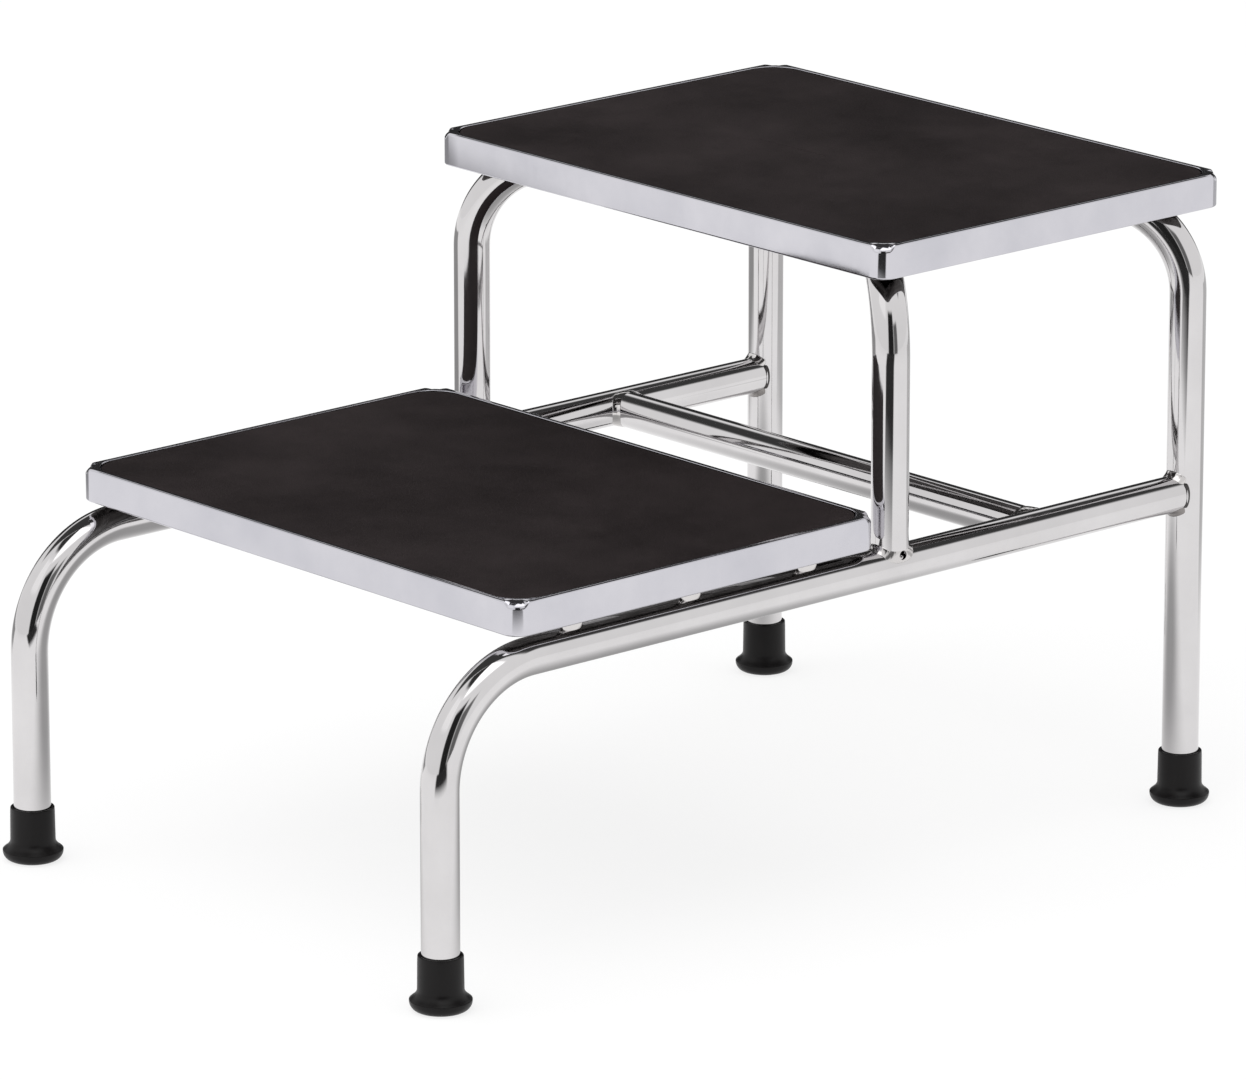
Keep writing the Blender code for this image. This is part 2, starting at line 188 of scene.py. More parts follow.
# Chrome looks: light, shade, roughness, wave.  Colours are linear, and depths are in metres.
CHROME_LOOKS = {
    "tube_chrome_look": ((0.71, 0.695, 0.70), (0.64, 0.625, 0.63), (0.03, 0.08), 0.00008),
    "pan_chrome_look": ((0.645, 0.635, 0.675), (0.56, 0.555, 0.60), (0.07, 0.15), 0.00010),
    "bright_weld_look": ((0.71, 0.69, 0.685), (0.60, 0.58, 0.575), (0.06, 0.14), 0.00004),
    # The darker weld look below is painted shade: a darkened, rougher copy of the weld chrome for the
    # bottom crotch under each rail joint.
    "shaded_bead_weld_look": ((0.36, 0.34, 0.33), (0.20, 0.185, 0.18), (0.16, 0.30), 0.00004),
}
SMUDGE_SCALE = 16.0
HAIRLINE_STRETCH = (700.0, 700.0, 60.0)
HAIRLINE_DULLING = 0.025
GRIT_SCALE = 2400.0
GRIT_DULLING = 0.008
GRIT_DEPTH = 0.000002
WAVE_SCALE = 24.0

# Rubber looks: dark, pale, roughness, pebble scale, pebble depth, specular level
RUBBER_LOOKS = {
    "mat_rubber_look": ((0.0125, 0.0088, 0.0091), (0.0300, 0.0230, 0.0236), (0.75, 0.95),
                        1100.0, 0.00006, 0.12),
    "tip_rubber_look": ((0.0035, 0.0028, 0.0030), (0.0065, 0.0054, 0.0056), (0.30, 0.46),
                        1800.0, 0.00001, 0.22),
}
CLOUD_SCALE = 11.0
FLECK_SCALE = 900.0
FLECK_DULLING = 0.05

# Steel looks: light, shade
STEEL_LOOKS = {
    "bare_steel": ((0.44, 0.44, 0.45), (0.27, 0.26, 0.26)),
    # The near-black look below is painted shade, put under the pans, in the tube bores and on the seams at
    # the rail ears.
    "pan_painted_shade_steel": ((0.09, 0.085, 0.085), (0.05, 0.046, 0.045)),
}
DRAWN_STRETCH = (40.0, 1500.0, 1500.0)
DRAWN_DEPTH = 0.00001
DRAWN_DULLING = 0.05
PATCH_SCALE = 60.0
PATCH_ROUGHNESS = (0.30, 0.48)

# Studio.  Directions are in degrees, with azimuths counted from the camera's own, positive to its
# right.  A card shows only in reflections: name, azimuths, elevations, brightness.
CARDS = (
    ("front_gap", (-17.0, 20.0), (-8.0, 44.0), 0.02),
    ("front_shade", (16.0, 42.0), (-8.0, 32.0), 0.15),
    ("key_box", (-75.0, -25.0), (28.0, 60.0), 1.1),
    ("rear_dark", (140.0, 220.0), (-8.0, 32.0), 0.03),
    ("rear_ceiling", (75.0, 255.0), (36.0, 90.0), 0.05),
    ("top_shade", (-107.0, -28.0), (62.0, 90.0), 0.04),
    ("top_glint", (-27.0, 64.0), (52.0, 90.0), 1.7),
)
CARD_DISTANCE = 7.2
CARD_STEPS = 40
CARD_SOFT = 6.0
ZENITH = 90.0

# Flags lie just above the floor and show only in reflections: name, azimuths, distances, brightness
FLAGS = (
    ("front_flag", (-26.0, 24.0), (0.77, 9.0), 0.03),
    ("rear_flag_right", (102.0, 158.0), (0.65, 3.0), 0.60),
    ("rear_flag_left", (-158.0, -102.0), (0.65, 3.0), 0.35),
    ("under_shade", (-180.0, 180.0), (0.0, 0.44), 0.42),
)
FLAG_SOFT = 0.35
FLAG_HEIGHT = 0.0005
FLOOR_REACH = 40.0
FLOOR_CLOUD_SCALE = 3.0
FLOOR_SHADE = (0.21, 0.21, 0.21)
FLOOR_LIGHT = (0.23, 0.23, 0.23)
FLOOR_GLOW = 0.79
FLOOR_ROUGHNESS = 0.9
WORLD_STRENGTH = 0.92
OVERHEAD_SIZE = (3.2, 3.2)
OVERHEAD_ENERGY = 40.0
OVERHEAD_AZIMUTH = -50.0
OVERHEAD_OUT = 1.4
OVERHEAD_UP = 3.2


# ---------------------------------------------------------------- frame lines

def middle(node):
    low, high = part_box(node)
    return (low + high) / 2.0


def frame_lines():
    """Centre lines of the tubes, read from the boxes of the CAD tubes."""
    low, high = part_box("side_tube_right")
    upper_low, upper_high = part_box("upper_tube_long")
    radius = (high.x - low.x) / 2.0
    return {
        "radius": radius,
        "track": (high.x + low.x) / 2.0,
        "front": low.y + radius,
        "rail": high.z - radius,
        "foot": low.z,
        "upper_front": upper_low.y + radius,
        "rear": upper_high.y - radius,
        "upper": upper_high.z - radius,
        "cross": middle("crossbar").y,
    }


LINES = frame_lines()
TUBE_RADIUS = LINES["radius"]

# A tube's end is cut square this far short of the other tube's centre line, at its two ears
EAR_SETBACK = LINES["rear"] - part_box("side_tube_right")[1].y


# ---------------------------------------------------------------- materials

def add_node(tree, kind, values=None, **settings):
    """A shader node with its settings, input values and incoming links in one call."""
    made = tree.nodes.new(kind)
    for key, value in settings.items():
        setattr(made, key, value)
    for key, value in (values or {}).items():
        if isinstance(value, bpy.types.NodeSocket):
            tree.links.new(value, made.inputs[key])
        else:
            made.inputs[key].default_value = value
    return made


def new_material(name):
    material = bpy.data.materials.new(name)
    material.use_nodes = True
    tree = material.node_tree
    return material, tree, tree.nodes["Principled BSDF"]


def place(tree, stretch=(1.0, 1.0, 1.0)):
    """Position in metres in the stool's own frame, stretched where a grain has a direction."""
    where = add_node(tree, "ShaderNodeTexCoord")
    mapped = add_node(tree, "ShaderNodeMapping", {"Vector": where.outputs["Object"], "Scale": stretch})
    return mapped.outputs["Vector"]


def grain(tree, vector, scale, detail=2.0, roughness=0.5):
    made = add_node(tree, "ShaderNodeTexNoise", {
        "Vector": vector, "Scale": scale, "Detail": detail, "Roughness": roughness})
    return made.outputs[0]


def spread(tree, value, low, high, from_low=0.3, from_high=0.7):
    made = add_node(tree, "ShaderNodeMapRange", {
        "Value": value, "From Min": from_low, "From Max": from_high, "To Min": low, "To Max": high})
    return made.outputs["Result"]


def math_of(tree, operation, first, second):
    return add_node(tree, "ShaderNodeMath", {0: first, 1: second}, operation=operation).outputs[0]


def blend_colours(tree, factor, first, second):
    made = add_node(tree, "ShaderNodeMix", data_type="RGBA")
    tree.links.new(factor, made.inputs[0])
    for index, colour in ((6, first), (7, second)):
        if isinstance(colour, bpy.types.NodeSocket):
            tree.links.new(colour, made.inputs[index])
        else:
            made.inputs[index].default_value = (*colour, 1.0)
    return made.outputs[2]


def bump(tree, height, distance, under=None):
    values = {"Height": height, "Distance": distance, "Strength": 1.0}
    if under:
        values["Normal"] = under
    return add_node(tree, "ShaderNodeBump", values).outputs["Normal"]


def chrome_material(name, light, shade, roughness, wave):
    """Plated steel: faint smudges and hairlines in the gloss, and a slight waviness of the surface."""
    material, tree, shader = new_material(name)
    here = place(tree)
    smudge = grain(tree, here, SMUDGE_SCALE, detail=5.0, roughness=0.6)
    hairline = grain(tree, place(tree, HAIRLINE_STRETCH), 1.0, detail=3.0)
    grit = grain(tree, here, GRIT_SCALE)
    rough = math_of(tree, "ADD", spread(tree, smudge, *roughness),
                    spread(tree, hairline, 0.0, HAIRLINE_DULLING, from_low=0.55, from_high=0.8))
    rough = math_of(tree, "ADD", rough, spread(tree, grit, -GRIT_DULLING, GRIT_DULLING))
    tree.links.new(rough, shader.inputs["Roughness"])
    tree.links.new(blend_colours(tree, spread(tree, smudge, 0.0, 1.0), light, shade),
                   shader.inputs["Base Color"])
    rolling = bump(tree, grain(tree, here, WAVE_SCALE, detail=1.0), wave)
    tree.links.new(bump(tree, grit, GRIT_DEPTH, rolling), shader.inputs["Normal"])
    shader.inputs["Metallic"].default_value = 1.0
    return material


def rubber_material(name, dark, pale, roughness, pebble_scale, pebble_depth, specular):
    """Rubber with a fine pebble and a cloudy mottle that is paler where it is worn."""
    material, tree, shader = new_material(name)
    here = place(tree)
    cloud = grain(tree, here, CLOUD_SCALE, detail=6.0, roughness=0.65)
    fleck = grain(tree, here, FLECK_SCALE, detail=3.0)
    pebble = add_node(tree, "ShaderNodeTexVoronoi", {"Vector": here, "Scale": pebble_scale}).outputs[0]
    worn = math_of(tree, "MULTIPLY", spread(tree, cloud, 0.0, 1.0), spread(tree, fleck, 0.55, 1.0))
    tree.links.new(blend_colours(tree, worn, dark, pale), shader.inputs["Base Color"])
    rough = math_of(tree, "ADD", spread(tree, cloud, *roughness),
                    spread(tree, fleck, -FLECK_DULLING, FLECK_DULLING))
    tree.links.new(rough, shader.inputs["Roughness"])
    coarse = bump(tree, pebble, pebble_depth)
    tree.links.new(bump(tree, fleck, pebble_depth * 0.5, coarse), shader.inputs["Normal"])
    shader.inputs["Specular IOR Level"].default_value = specular
    return material


def steel_material(name, light, shade):
    """Unpolished rolled steel: drawn grain along X, mill scale patches and a soft sheen. Its near-black
    copy is painted shade.
    """
    material, tree, shader = new_material(name)
    here = place(tree)
    drawn = grain(tree, place(tree, DRAWN_STRETCH), 1.0, detail=3.0)
    patch = grain(tree, here, PATCH_SCALE, detail=4.0, roughness=0.6)
    tree.links.new(blend_colours(tree, spread(tree, patch, 0.0, 1.0), light, shade),
                   shader.inputs["Base Color"])
    rough = math_of(tree, "ADD", spread(tree, patch, *PATCH_ROUGHNESS),
                    spread(tree, drawn, -DRAWN_DULLING, DRAWN_DULLING))
    tree.links.new(rough, shader.inputs["Roughness"])
    tree.links.new(bump(tree, drawn, DRAWN_DEPTH), shader.inputs["Normal"])
    shader.inputs["Metallic"].default_value = 1.0
    return material


# ---------------------------------------------------------------- mesh helpers

def fade(share):
    """A smooth rise from 0 to 1."""
    share = min(max(share, 0.0), 1.0)
    return share * share * (3.0 - 2.0 * share)


def arc_steps(count):
    """Sine and cosine at equal steps over a quarter turn."""
    return [(math.sin(math.pi / 2.0 * step / count), math.cos(math.pi / 2.0 * step / count))
            for step in range(count + 1)]


def base_and_size(node):
    """Middle of the foot of a CAD node's box, and the box's size."""
    low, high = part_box(node)
    return Vector(((low.x + high.x) / 2.0, (low.y + high.y) / 2.0, low.z)), high - low


def skin(rings, cap_first=False, cap_last=False, loop=False):
    """A mesh over rings that all hold the same number of points."""
    shape = bmesh.new()
    rows = [[shape.verts.new(point) for point in ring] for ring in rings]
    pairs = list(zip(rows, rows[1:]))
    if loop:
        pairs.append((rows[-1], rows[0]))
    count = len(rows[0])
    for lower, upper in pairs:
        for index in range(count):
            follow = (index + 1) % count
            shape.faces.new((lower[index], lower[follow], upper[follow], upper[index]))
    if cap_first:
        shape.faces.new(reversed(rows[0]))
    if cap_last:
        shape.faces.new(rows[-1])
    bmesh.ops.recalc_face_normals(shape, faces=shape.faces)
    mesh = bpy.data.meshes.new("skin")
    shape.to_mesh(mesh)
    shape.free()
    return mesh


def add_piece(name, mesh, materials, nodes=(), crease=TUBE_CREASE):
    """A shown piece of the stool, fixed to its root, that stands for the given CAD nodes."""
    mesh.name = name
    for material in materials:
        mesh.materials.append(material)
    mesh.shade_smooth()
    mesh.set_sharp_from_angle(angle=math.radians(crease))
    piece = bpy.data.objects.new(name, mesh)
    bpy.context.scene.collection.objects.link(piece)
    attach(piece, "root")
    if nodes:
        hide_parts(*nodes)
    return piece


# ---------------------------------------------------------------- tubes

def bend_points(corner, arriving, leaving, radius):
    """Points of the quarter bend that rounds a right-angled corner."""
    centre = corner + (leaving - arriving) * radius
    points = []
    for step in range(BEND_STEPS + 1):
        angle = math.pi / 2.0 * step / BEND_STEPS
        points.append(centre + (arriving * math.sin(angle) - leaving * math.cos(angle)) * radius)
    return points


def reach_to_tube(start, along, joint, main, radius):
    """Distance from a point, along a line, to the near side of a tube's surface."""
    across = along - main * along.dot(main)
    offset = start - joint
    offset -= main * offset.dot(main)
    middle_term = offset.dot(across)
    root = max(middle_term ** 2 - across.length_squared * (offset.length_squared - radius ** 2), 0.0)
    return (-middle_term - math.sqrt(root)) / across.length_squared


def cope_point(point, outward, joint, main):
    """An end point moved along its tube: onto the main tube, or to the square cut of the ears."""
    start = point - outward * 2.0 * TUBE_RADIUS
    reach = reach_to_tube(start, outward, joint, main, TUBE_RADIUS + COPE_RELIEF) + COPE_SINK
    square_cut = (joint - start).dot(outward) - EAR_SETBACK
    return start + outward * min(reach, square_cut)


def tube_mesh(path, side, copes):
    """A hollow tube along a path in one plane with the given side normal, its bore coloured with painted
    shade.

    copes maps the path's end, 0 or -1, to the joint and axis of the tube that it is cut to fit."""
    surfaces = []
    for radius in (TUBE_RADIUS, TUBE_RADIUS - TUBE_WALL):
        rings = []
        for index, centre in enumerate(path):
            before = path[max(index - 1, 0)]
            after = path[min(index + 1, len(path) - 1)]
            along = (after - before).normalized()
            cross = along.cross(side)
            ring = []
            for step in range(TUBE_SIDES):
                angle = 2.0 * math.pi * step / TUBE_SIDES
                ring.append(centre + (side * math.cos(angle) + cross * math.sin(angle)) * radius)
            rings.append(ring)
        for end, (joint, main) in copes.items():
            outward = (path[end] - path[1 if end == 0 else -2]).normalized()
            rings[end] = [cope_point(point, outward, joint, main) for point in rings[end]]
        surfaces.append(rings)
    outer, inner = surfaces
    mesh = skin(outer + inner[::-1], loop=True)
    # The bore's faces take the second material: painted shade.
    first = len(outer) * TUBE_SIDES
    for face in mesh.polygons[first:first + (len(inner) - 1) * TUBE_SIDES]:
        face.material_index = 1
    return mesh


def diagonal(side):
    """Level direction from an upper front leg, on the given side, to the opposite rear leg."""
    run = LINES["rear"] - LINES["upper_front"]
    return Vector((-side * 2.0 * LINES["track"], run, 0.0)).normalized()


def upper_leg(side, row):
    """Top corner of an upper leg: side is -1 or 1, row is upper_front or rear."""
    return Vector((side * LINES["track"], LINES[row], LINES["upper"]))


def make_tubes(plated, bore):
    """The six frame tubes; returns the joints, each with the runs of weld round it."""
    rail, foot = LINES["rail"], LINES["foot"]
    crossing = Vector((0.0, (LINES["upper_front"] + LINES["rear"]) / 2.0, LINES["upper"]))

    for name, side in (("left", -1.0), ("right", 1.0)):
        x = side * LINES["track"]
        corner = Vector((x, LINES["front"], rail))
        rear = Vector((x, LINES["rear"], rail))
        path = [Vector((x, LINES["front"], foot))]
        path += bend_points(corner, UP, BACK, RAIL_BEND_RADIUS)
        path += [rear - BACK * COPED_STRAIGHT * TUBE_RADIUS, rear]
        mesh = tube_mesh(path, RIGHT, {-1: (rear, UP)})
        node = "side_tube_" + name
        add_piece(node + "_fine", mesh, [plated, bore], [node])

    ends = [Vector((x, LINES["cross"], rail)) for x in (-LINES["track"], LINES["track"])]
    inset = RIGHT * COPED_STRAIGHT * TUBE_RADIUS
    path = [ends[0], ends[0] + inset, ends[1] - inset, ends[1]]
    mesh = tube_mesh(path, BACK, {0: (ends[0], BACK), -1: (ends[1], BACK)})
    add_piece("crossbar_fine", mesh, [plated, bore], ["crossbar"])

    along = diagonal(-1.0)
    foot_left = Vector((-LINES["track"], LINES["upper_front"], rail))
    path = [foot_left, foot_left + UP * COPED_STRAIGHT * TUBE_RADIUS]
    path += bend_points(upper_leg(-1.0, "upper_front"), UP, along, UPPER_BEND_RADIUS)
    path += bend_points(upper_leg(1.0, "rear"), along, -UP, UPPER_BEND_RADIUS)
    path.append(Vector((LINES["track"], LINES["rear"], foot)))
    mesh = tube_mesh(path, along.cross(UP), {0: (foot_left, BACK)})
    add_piece("upper_tube_long_fine", mesh, [plated, bore], ["upper_tube_long"])

    other = diagonal(1.0)
    foot_right = Vector((LINES["track"], LINES["upper_front"], rail))
    path = [foot_right, foot_right + UP * COPED_STRAIGHT * TUBE_RADIUS]
    path += bend_points(upper_leg(1.0, "upper_front"), UP, other, UPPER_BEND_RADIUS)
    path += [crossing - other * CROSSING_STRAIGHT * TUBE_RADIUS, crossing]
    mesh = tube_mesh(path, other.cross(UP), {0: (foot_right, BACK), -1: (crossing, along)})
    add_piece("upper_tube_front_right_fine", mesh, [plated, bore],
              ["upper_tube_front_right"])

    path = [Vector((-LINES["track"], LINES["rear"], foot))]
    path += bend_points(upper_leg(-1.0, "rear"), UP, -other, UPPER_BEND_RADIUS)
    path += [crossing + other * CROSSING_STRAIGHT * TUBE_RADIUS, crossing]
    mesh = tube_mesh(path, other.cross(UP), {-1: (crossing, along)})
    add_piece("upper_tube_rear_left_fine", mesh, [plated, bore],
              ["upper_tube_rear_left"])

    half = RAIL_BEAD_HALF
    # Round a rail's end the top crotch is bright, while the bottom crotch and the sides of the ears carry
    # painted shade.
    open_ears = (("bright", -half, half), ("seam", half, 180.0 - half),
                 ("dull", 180.0 - half, 180.0 + half), ("seam", 180.0 + half, 360.0 - half))
    all_round = (("bright", 0.0, 360.0),)
    return {
        "rail_left": (Vector((-LINES["track"], LINES["rear"], rail)), -BACK, UP, open_ears),
        "rail_right": (Vector((LINES["track"], LINES["rear"], rail)), -BACK, UP, open_ears),
        "crossbar_left": (ends[0], RIGHT, BACK, all_round),
        "crossbar_right": (ends[1], -RIGHT, BACK, all_round),
        "upper_leg_left": (foot_left, UP, BACK, all_round),
        "upper_leg_right": (foot_right, UP, BACK, all_round),
        "crossing_front": (crossing, -other, along, all_round),
        "crossing_rear": (crossing, other, along, all_round),
    }


# ---------------------------------------------------------------- weld beads

def branch_edge(joint, branch, main, turn):
    """A point by the rim of a coped tube's end, and the direction out of the tube there.

    The rim turns a sharp corner where its saddle meets its square cut, and the weld eases it."""
    side = main.cross(branch).normalized()
    around = branch.cross(side) * math.cos(turn) + side * math.sin(turn)
    start = joint + around * TUBE_RADIUS + branch * 2.0 * TUBE_RADIUS
    reach = reach_to_tube(start, -branch, joint, main, TUBE_RADIUS + COPE_RELIEF)
    saddle = max(2.0 * TUBE_RADIUS - reach, 0.0)
    eased = (saddle ** BEAD_EASING + EAR_SETBACK ** BEAD_EASING) ** (1.0 / BEAD_EASING)
    return joint + around * TUBE_RADIUS + branch * eased, around


def bead_ring(joint, branch, main, turn, size):
    """One section of the bead: a low crown from the branch to the main tube, rooted in both walls."""
    point, off_branch = branch_edge(joint, branch, main, turn)
    ahead, _ = branch_edge(joint, branch, main, turn + BEAD_LOOK_AHEAD)
    along = (ahead - point).normalized()
    from_joint = point - joint
    off_main = (from_joint - main * from_joint.dot(main)).normalized()
    landing = joint + main * from_joint.dot(main) + off_main * TUBE_RADIUS
    away = off_main.cross(along)
    if away.dot(off_branch - branch) < 0.0:
        away = -away
    square = 1.0 - off_branch.dot(off_main)
    reach = BEAD_REACH * size
    on_branch = point + branch * reach
    on_main = landing + away * reach
    from_axis = on_main - joint
    axial = main * from_axis.dot(main)
    on_main = joint + axial + (from_axis - axial).normalized() * TUBE_RADIUS
    outward = (off_branch + off_main).normalized()
    crown = point + ((on_branch + on_main) / 2.0 - point) * BEAD_FULLNESS
    crown += outward * 2.0 * BEAD_PROUD * (1.0 - square) * size
    ring = []
    for step in range(BEAD_SPAN):
        share = step / (BEAD_SPAN - 1)
        ring.append(on_branch * (1.0 - share) ** 2 + crown * 2.0 * share * (1.0 - share)
                    + on_main * share ** 2)
    ring.append(on_main - off_main * BEAD_ROOT)
    ring.append(landing - off_main * BEAD_ROOT)
    ring.append(on_branch - off_branch * BEAD_ROOT)
    return ring


def bead_size(degrees, start, end, number):
    """Ripples of the weld pool, a slow drift, and a taper where the run starts and stops."""
    turn = math.radians(degrees)
    pulse = abs(math.sin(turn * BEAD_RIPPLES / 2.0))
    drift = noise.noise(Vector((BEAD_DRIFT_SCALE * math.cos(turn), BEAD_DRIFT_SCALE * math.sin(turn),
                                float(number))))
    size = 1.0 + BEAD_RIPPLE * (pulse + BEAD_DRIFT * drift)
    if end - start < 360.0:
        nearest = min(degrees - start, end - degrees)
        size *= math.sin(math.pi / 2.0 * min((nearest + 1.0) / BEAD_TAPER, 1.0))
    return size


def make_beads(joints, bead_materials):
    """A weld bead for each run of each joint, every kind of run with its own material. The bottom crotch
    and the ear sides at the rails carry painted shade.
    """
    for number, (name, (joint, branch, main, runs)) in enumerate(sorted(joints.items())):
        for run, (bead_kind, start, end) in enumerate(runs):
            closed = end - start >= 360.0
            count = round(BEAD_POINTS * (end - start) / 360.0)
            rings = []
            for step in range(count if closed else count + 1):
                degrees = start + (end - start) * step / count
                size = BEAD_SIZES[bead_kind] * bead_size(degrees, start, end, number)
                rings.append(bead_ring(joint, branch, main, math.radians(degrees), size))
            mesh = skin(rings, cap_first=not closed, cap_last=not closed, loop=closed)
            suffix = "_" + str(run + 1) if len(runs) > 1 else ""
            add_piece("weld_" + name + suffix, mesh, [bead_materials[bead_kind]],
                      crease=BEAD_CREASE)


def drill_vent(name, centre, outward):
    """A small round hole drilled level into one wall of a piece, straight in from outside."""
    across = outward.cross(UP)
    spokes = []
    for step in range(VENT_SIDES):
        turn = 2.0 * math.pi * step / VENT_SIDES
        spokes.append((across * math.cos(turn) + UP * math.sin(turn)) * VENT_RADIUS)
    rings = [[centre + outward * (out * TUBE_RADIUS) + spoke for spoke in spokes] for out in VENT_CUT]
    cutter = bpy.data.objects.new("vent_cutter", skin(rings, cap_first=True, cap_last=True))
    bpy.context.scene.collection.objects.link(cutter)
    piece = bpy.data.objects[name]
    drill = piece.modifiers.new("vent", "BOOLEAN")
    drill.operation = "DIFFERENCE"
    drill.object = cutter
    bpy.context.view_layer.update()
    evaluated = piece.evaluated_get(bpy.context.evaluated_depsgraph_get())
    drilled = bpy.data.meshes.new_from_object(evaluated)
    piece.modifiers.clear()
    shape = bmesh.new()
    shape.from_mesh(drilled)
    bmesh.ops.remove_doubles(shape, verts=shape.verts, dist=VENT_MERGE)
    bmesh.ops.dissolve_degenerate(shape, edges=shape.edges, dist=VENT_MERGE)
    shape.to_mesh(drilled)
    shape.free()
    piece.data = drilled
    bpy.data.objects.remove(cutter)


def drill_vents(joints):
    """The vent at the foot of the right upper leg, through its weld and its wall.

    It lets the plating solution out of the tube."""
    foot = joints["upper_leg_right"][0]
    turn = math.radians(VENT_TURN)
    outward = RIGHT * math.sin(turn) + BACK * math.cos(turn)
    for name in ("upper_tube_front_right_fine", "weld_upper_leg_right"):
        drill_vent(name, foot + UP * (EAR_SETBACK + VENT_RISE), outward)


# ---------------------------------------------------------------- pans and mats

def outline(width, depth, radius, height, offset, pull=0.0, drop=0.0):
    """Rounded rectangle about an offset, counter-clockwise, with points along its sides too.

    pull and drop draw the middle of each corner inwards and down."""
    points = []
    for corner in range(4):
        side_x = 1.0 if corner in (0, 3) else -1.0
        side_y = 1.0 if corner in (0, 1) else -1.0
        centre = Vector((side_x * (width / 2.0 - radius), side_y * (depth / 2.0 - radius), height))
        for step in range(OUTLINE_CORNER_STEPS + 1):
            share = step / OUTLINE_CORNER_STEPS
            weight = fade(min(share, 1.0 - share) / RIM_CORNER_BLEND)
            angle = math.pi / 2.0 * (corner + share)
            around = Vector((math.cos(angle), math.sin(angle), 0.0))
            points.append(centre + around * (radius - pull * weight) - UP * drop * weight)
        last = points[-1]
        if corner in (0, 2):
            across = Vector((-2.0 * last.x, 0.0, 0.0))
        else:
            across = Vector((0.0, -2.0 * last.y, 0.0))
        for step in range(1, OUTLINE_SIDE_STEPS):
            points.append(last + across * step / OUTLINE_SIDE_STEPS)
    return [point + offset for point in points]


def pan_sections(height):
    """Inset, height, corner radius, pull and drop, from the flange's lip to the seat of the mat."""
    sections = [(PAN_FLANGE_INSET, 0.0, PAN_FLANGE_CORNER, 0.0, 0.0)]
    for rise, run in arc_steps(PAN_FOOT_STEPS):
        inset = PAN_FOOT_RADIUS * (1.0 - rise)
        sections.append((inset, PAN_FOOT_RADIUS * (1.0 - run), PAN_CORNER_RADIUS - inset, 0.0, 0.0))
    sections.append((0.0, height - RIM_OUTER_ROUND - RIM_CORNER_GUARD, PAN_CORNER_RADIUS,
                     0.0, RIM_CORNER_DROP))
    for step, (rise, run) in enumerate(arc_steps(RIM_STEPS)):
        inset = RIM_OUTER_ROUND * (1.0 - run)
        straight = step / RIM_STEPS * RIM_CORNER_FLATNESS
        straight_left = (1.0 - step / RIM_STEPS) * RIM_CORNER_FLATNESS
        pull = (1.0 - run) * (1.0 - RIM_CORNER_FLATNESS) + straight
        drop = (1.0 - rise) * (1.0 - RIM_CORNER_FLATNESS) + straight_left
        sections.append((inset, height - RIM_OUTER_ROUND * (1.0 - rise), PAN_CORNER_RADIUS - inset,
                         RIM_CORNER_PULL * pull, RIM_CORNER_DROP * drop))
    for rise, run in arc_steps(RIM_INNER_STEPS):
        inset = RIM_LAND_INSET + RIM_INNER_ROUND * rise
        sections.append((inset, height - RIM_INNER_ROUND * (1.0 - run), RECESS_CORNER_RADIUS, 0.0, 0.0))
    seat = RIM_LAND_INSET + RIM_INNER_ROUND
    sections.append((seat, height - RECESS_DEPTH, RECESS_CORNER_RADIUS, 0.0, 0.0))
    return sections


def make_pan(node, chrome, painted_shade_steel):
    """A pressed pan of thin sheet, bright outside, with painted shade within and under its flange."""
    centre, size = base_and_size(node)
    rings = [outline(size.x - 2.0 * inset, size.y - 2.0 * inset, radius, height, centre, pull, drop)
             for inset, height, radius, pull, drop in pan_sections(size.z)]
    mesh = skin(rings, cap_last=True)
    # The flange's underside, and through the sheet's offset the whole inner face, take painted shade.
    for face in mesh.polygons[:len(rings[0])]:
        face.material_index = 1
    piece = add_piece(node + "_fine", mesh, [chrome, painted_shade_steel], [node], PAN_CREASE)
    wall = piece.modifiers.new("sheet", "SOLIDIFY")
    wall.thickness = PAN_SHEET
    wall.offset = -1.0
    wall.use_even_offset = True
    wall.material_offset = 1


def make_mat(node, material):
    """A rubber sheet with rounded edges and the slight unevenness of glued rubber."""
    centre, size = base_and_size(node)
    sections = [(MAT_EDGE_ROUND, 0.0), (0.0, MAT_EDGE_ROUND)]
    for rise, run in arc_steps(MAT_EDGE_STEPS):
        sections.append((MAT_EDGE_ROUND * (1.0 - run), size.z - MAT_EDGE_ROUND * (1.0 - rise)))
    inset = MAT_EDGE_ROUND + MAT_RING_STEP
    while inset < size.y / 2.0 - MAT_RING_STEP:
        sections.append((inset, size.z))
        inset += MAT_RING_STEP
    rings = []
    for inset, height in sections:
        radius = max(MAT_CORNER_RADIUS - inset, MAT_EDGE_ROUND)
        ring = outline(size.x - 2.0 * inset, size.y - 2.0 * inset, radius, height, centre)
        if inset > MAT_EDGE_ROUND:
            share = min((inset - MAT_EDGE_ROUND) / (2.0 * MAT_RING_STEP), 1.0)
            lift = UP * MAT_UNEVENNESS * share
            ring = [point + lift * (noise.noise(point * MAT_UNEVEN_SCALE) - 0.5) for point in ring]
        rings.append(ring)
    mesh = skin(rings, cap_first=True, cap_last=True)
    add_piece(node + "_fine", mesh, [material], [node], MAT_CREASE)


# ---------------------------------------------------------------- lugs

def rounded(turn, squareness):
    """Cosine and sine of a turn, filled out towards a rectangle."""
    return [math.copysign(abs(part) ** squareness, part) for part in (math.cos(turn), math.sin(turn))]


